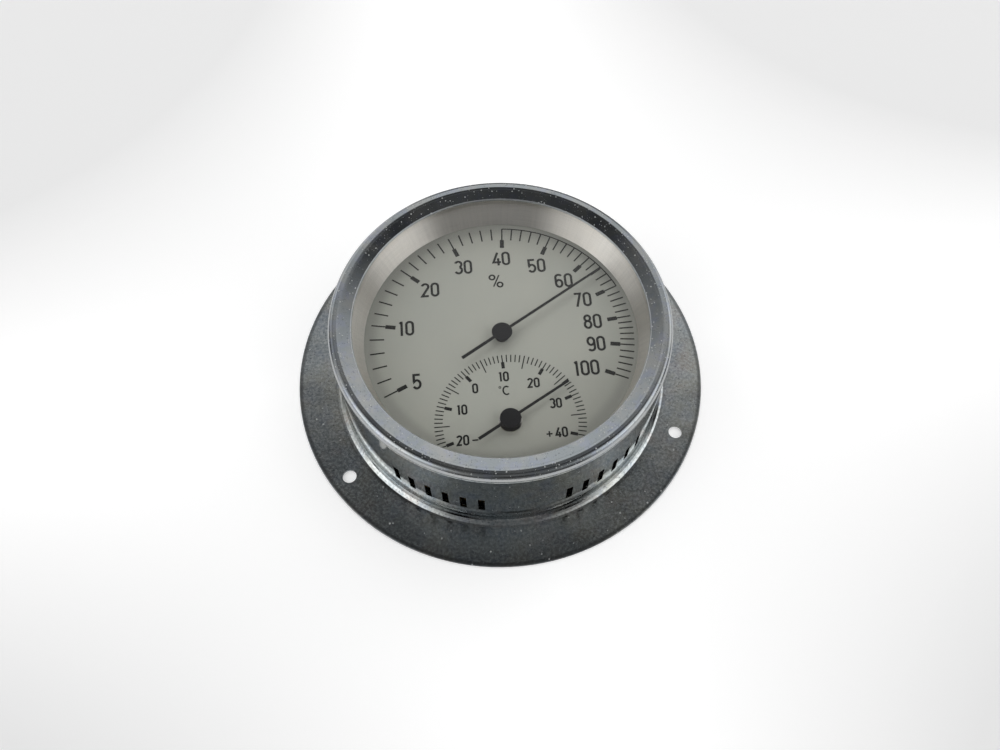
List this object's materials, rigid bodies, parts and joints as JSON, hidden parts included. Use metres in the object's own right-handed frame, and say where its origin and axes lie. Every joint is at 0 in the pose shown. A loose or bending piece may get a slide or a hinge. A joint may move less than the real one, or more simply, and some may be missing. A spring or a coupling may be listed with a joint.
{
  "type": "dial thermo-hygrometer",
  "caption": "Round wall-mounted dial instrument: flanged slotted steel case, domed bezel, humidity scale with geared hair movement and a small bimetal thermometer dial.",
  "frame": {"origin": "centre of the flange's back face, which lies on the wall", "axes": "+Z out of the dial, +Y towards the flange hole at twelve o'clock, +X to the right of someone who reads the dial"},
  "size_m": [0.132, 0.132, 0.035],
  "materials": {
    "zinc": "blue-passivated zinc plating on drawn steel, mottled",
    "bezel_zinc": "blue-passivated zinc plating on spun steel, pitted",
    "rubber": "matt black",
    "glass": "clear window glass",
    "brushed_aluminium": "circumferentially brushed",
    "dial_paint": "matt warm grey enamel",
    "brass": "fine ground",
    "screw_steel": "turned and polished",
    "bronze": "rolled phosphor bronze",
    "hair": "degreased straw-coloured hair",
    "nickel": "nickel plated",
    "bimetal": "rolled bimetal strip",
    "pointer_black": "matt black lacquer",
    "cap_blueblack": "satin blue-black lacquer"
  },
  "bodies": {
    "case": {"case_shell": "zinc", "rear_cover": "zinc", "bezel": "bezel_zinc", "gasket": "rubber", "window_glass": "glass", "dial_ring": "brushed_aluminium", "dial_plate": "dial_paint", "carrier_plate": "brass", "base_pillars": "brass", "base_screws": "screw_steel", "carrier_screws": "screw_steel", "dial_pillars": "brass", "front_bridge": "brass", "bridge_pillars": "brass", "bridge_screws": "screw_steel", "hairspring_stud": "screw_steel", "hairspring": "bronze", "hair_bundle": "hair", "hair_ferrules": "brass", "thermo_bushing": "nickel", "thermo_nut": "nickel", "bimetal_bracket": "brass", "bimetal_spiral": "bimetal"},
    "sector": {"sector_arbor": "screw_steel", "sector_gear": "brass", "hair_lever": "nickel", "lever_pin": "screw_steel"},
    "humidity_pointer": {"hygro_arbor": "screw_steel", "pinion": "screw_steel", "hairspring_collet": "brass", "hygro_boss": "pointer_black", "hygro_pointer": "pointer_black", "hygro_cap": "cap_blueblack"},
    "temperature_pointer": {"thermo_arbor": "screw_steel", "thermo_collet": "brass", "thermo_boss": "pointer_black", "thermo_pointer": "pointer_black", "thermo_cap": "cap_blueblack"},
    "adjuster": {"adjuster_spindle": "screw_steel", "friction_washer": "bronze", "adjuster_crank": "brass", "anchor_pin": "screw_steel"}
  },
  "joints": [
    {"name": "sector_turn", "type": "hinge", "parent": "case", "child": "sector", "pos_m": [-0.03314, 0.01407, 0.0119], "axis": [0, 0, 1], "range_deg": [-15.79, 5.25], "stiffness_Nm_per_rad": 0.004, "deforming": ["hair_bundle", "hair_ferrules"]},
    {"name": "humidity_pointer_turn", "type": "hinge", "parent": "case", "child": "humidity_pointer", "pos_m": [0, 0, 0.0257], "axis": [0, 0, 1], "range_deg": [-57.75, 173.69], "deforming": ["hairspring"]},
    {"name": "temperature_pointer_turn", "type": "hinge", "parent": "case", "child": "temperature_pointer", "pos_m": [-0.00151, -0.02876, 0.025], "axis": [0, 0, 1], "range_deg": [-46.7, 168], "stiffness_Nm_per_rad": 0.002, "deforming": ["bimetal_spiral"]},
    {"name": "adjuster_turn", "type": "hinge", "parent": "case", "child": "adjuster", "pos_m": [0.03769, 0.01216, 0.007], "axis": [0, 0, 1], "range_deg": [-60, 60]}
  ],
  "couplings": [
    {"joint": "humidity_pointer_turn", "follows": "sector_turn", "ratio": -11}
  ]
}
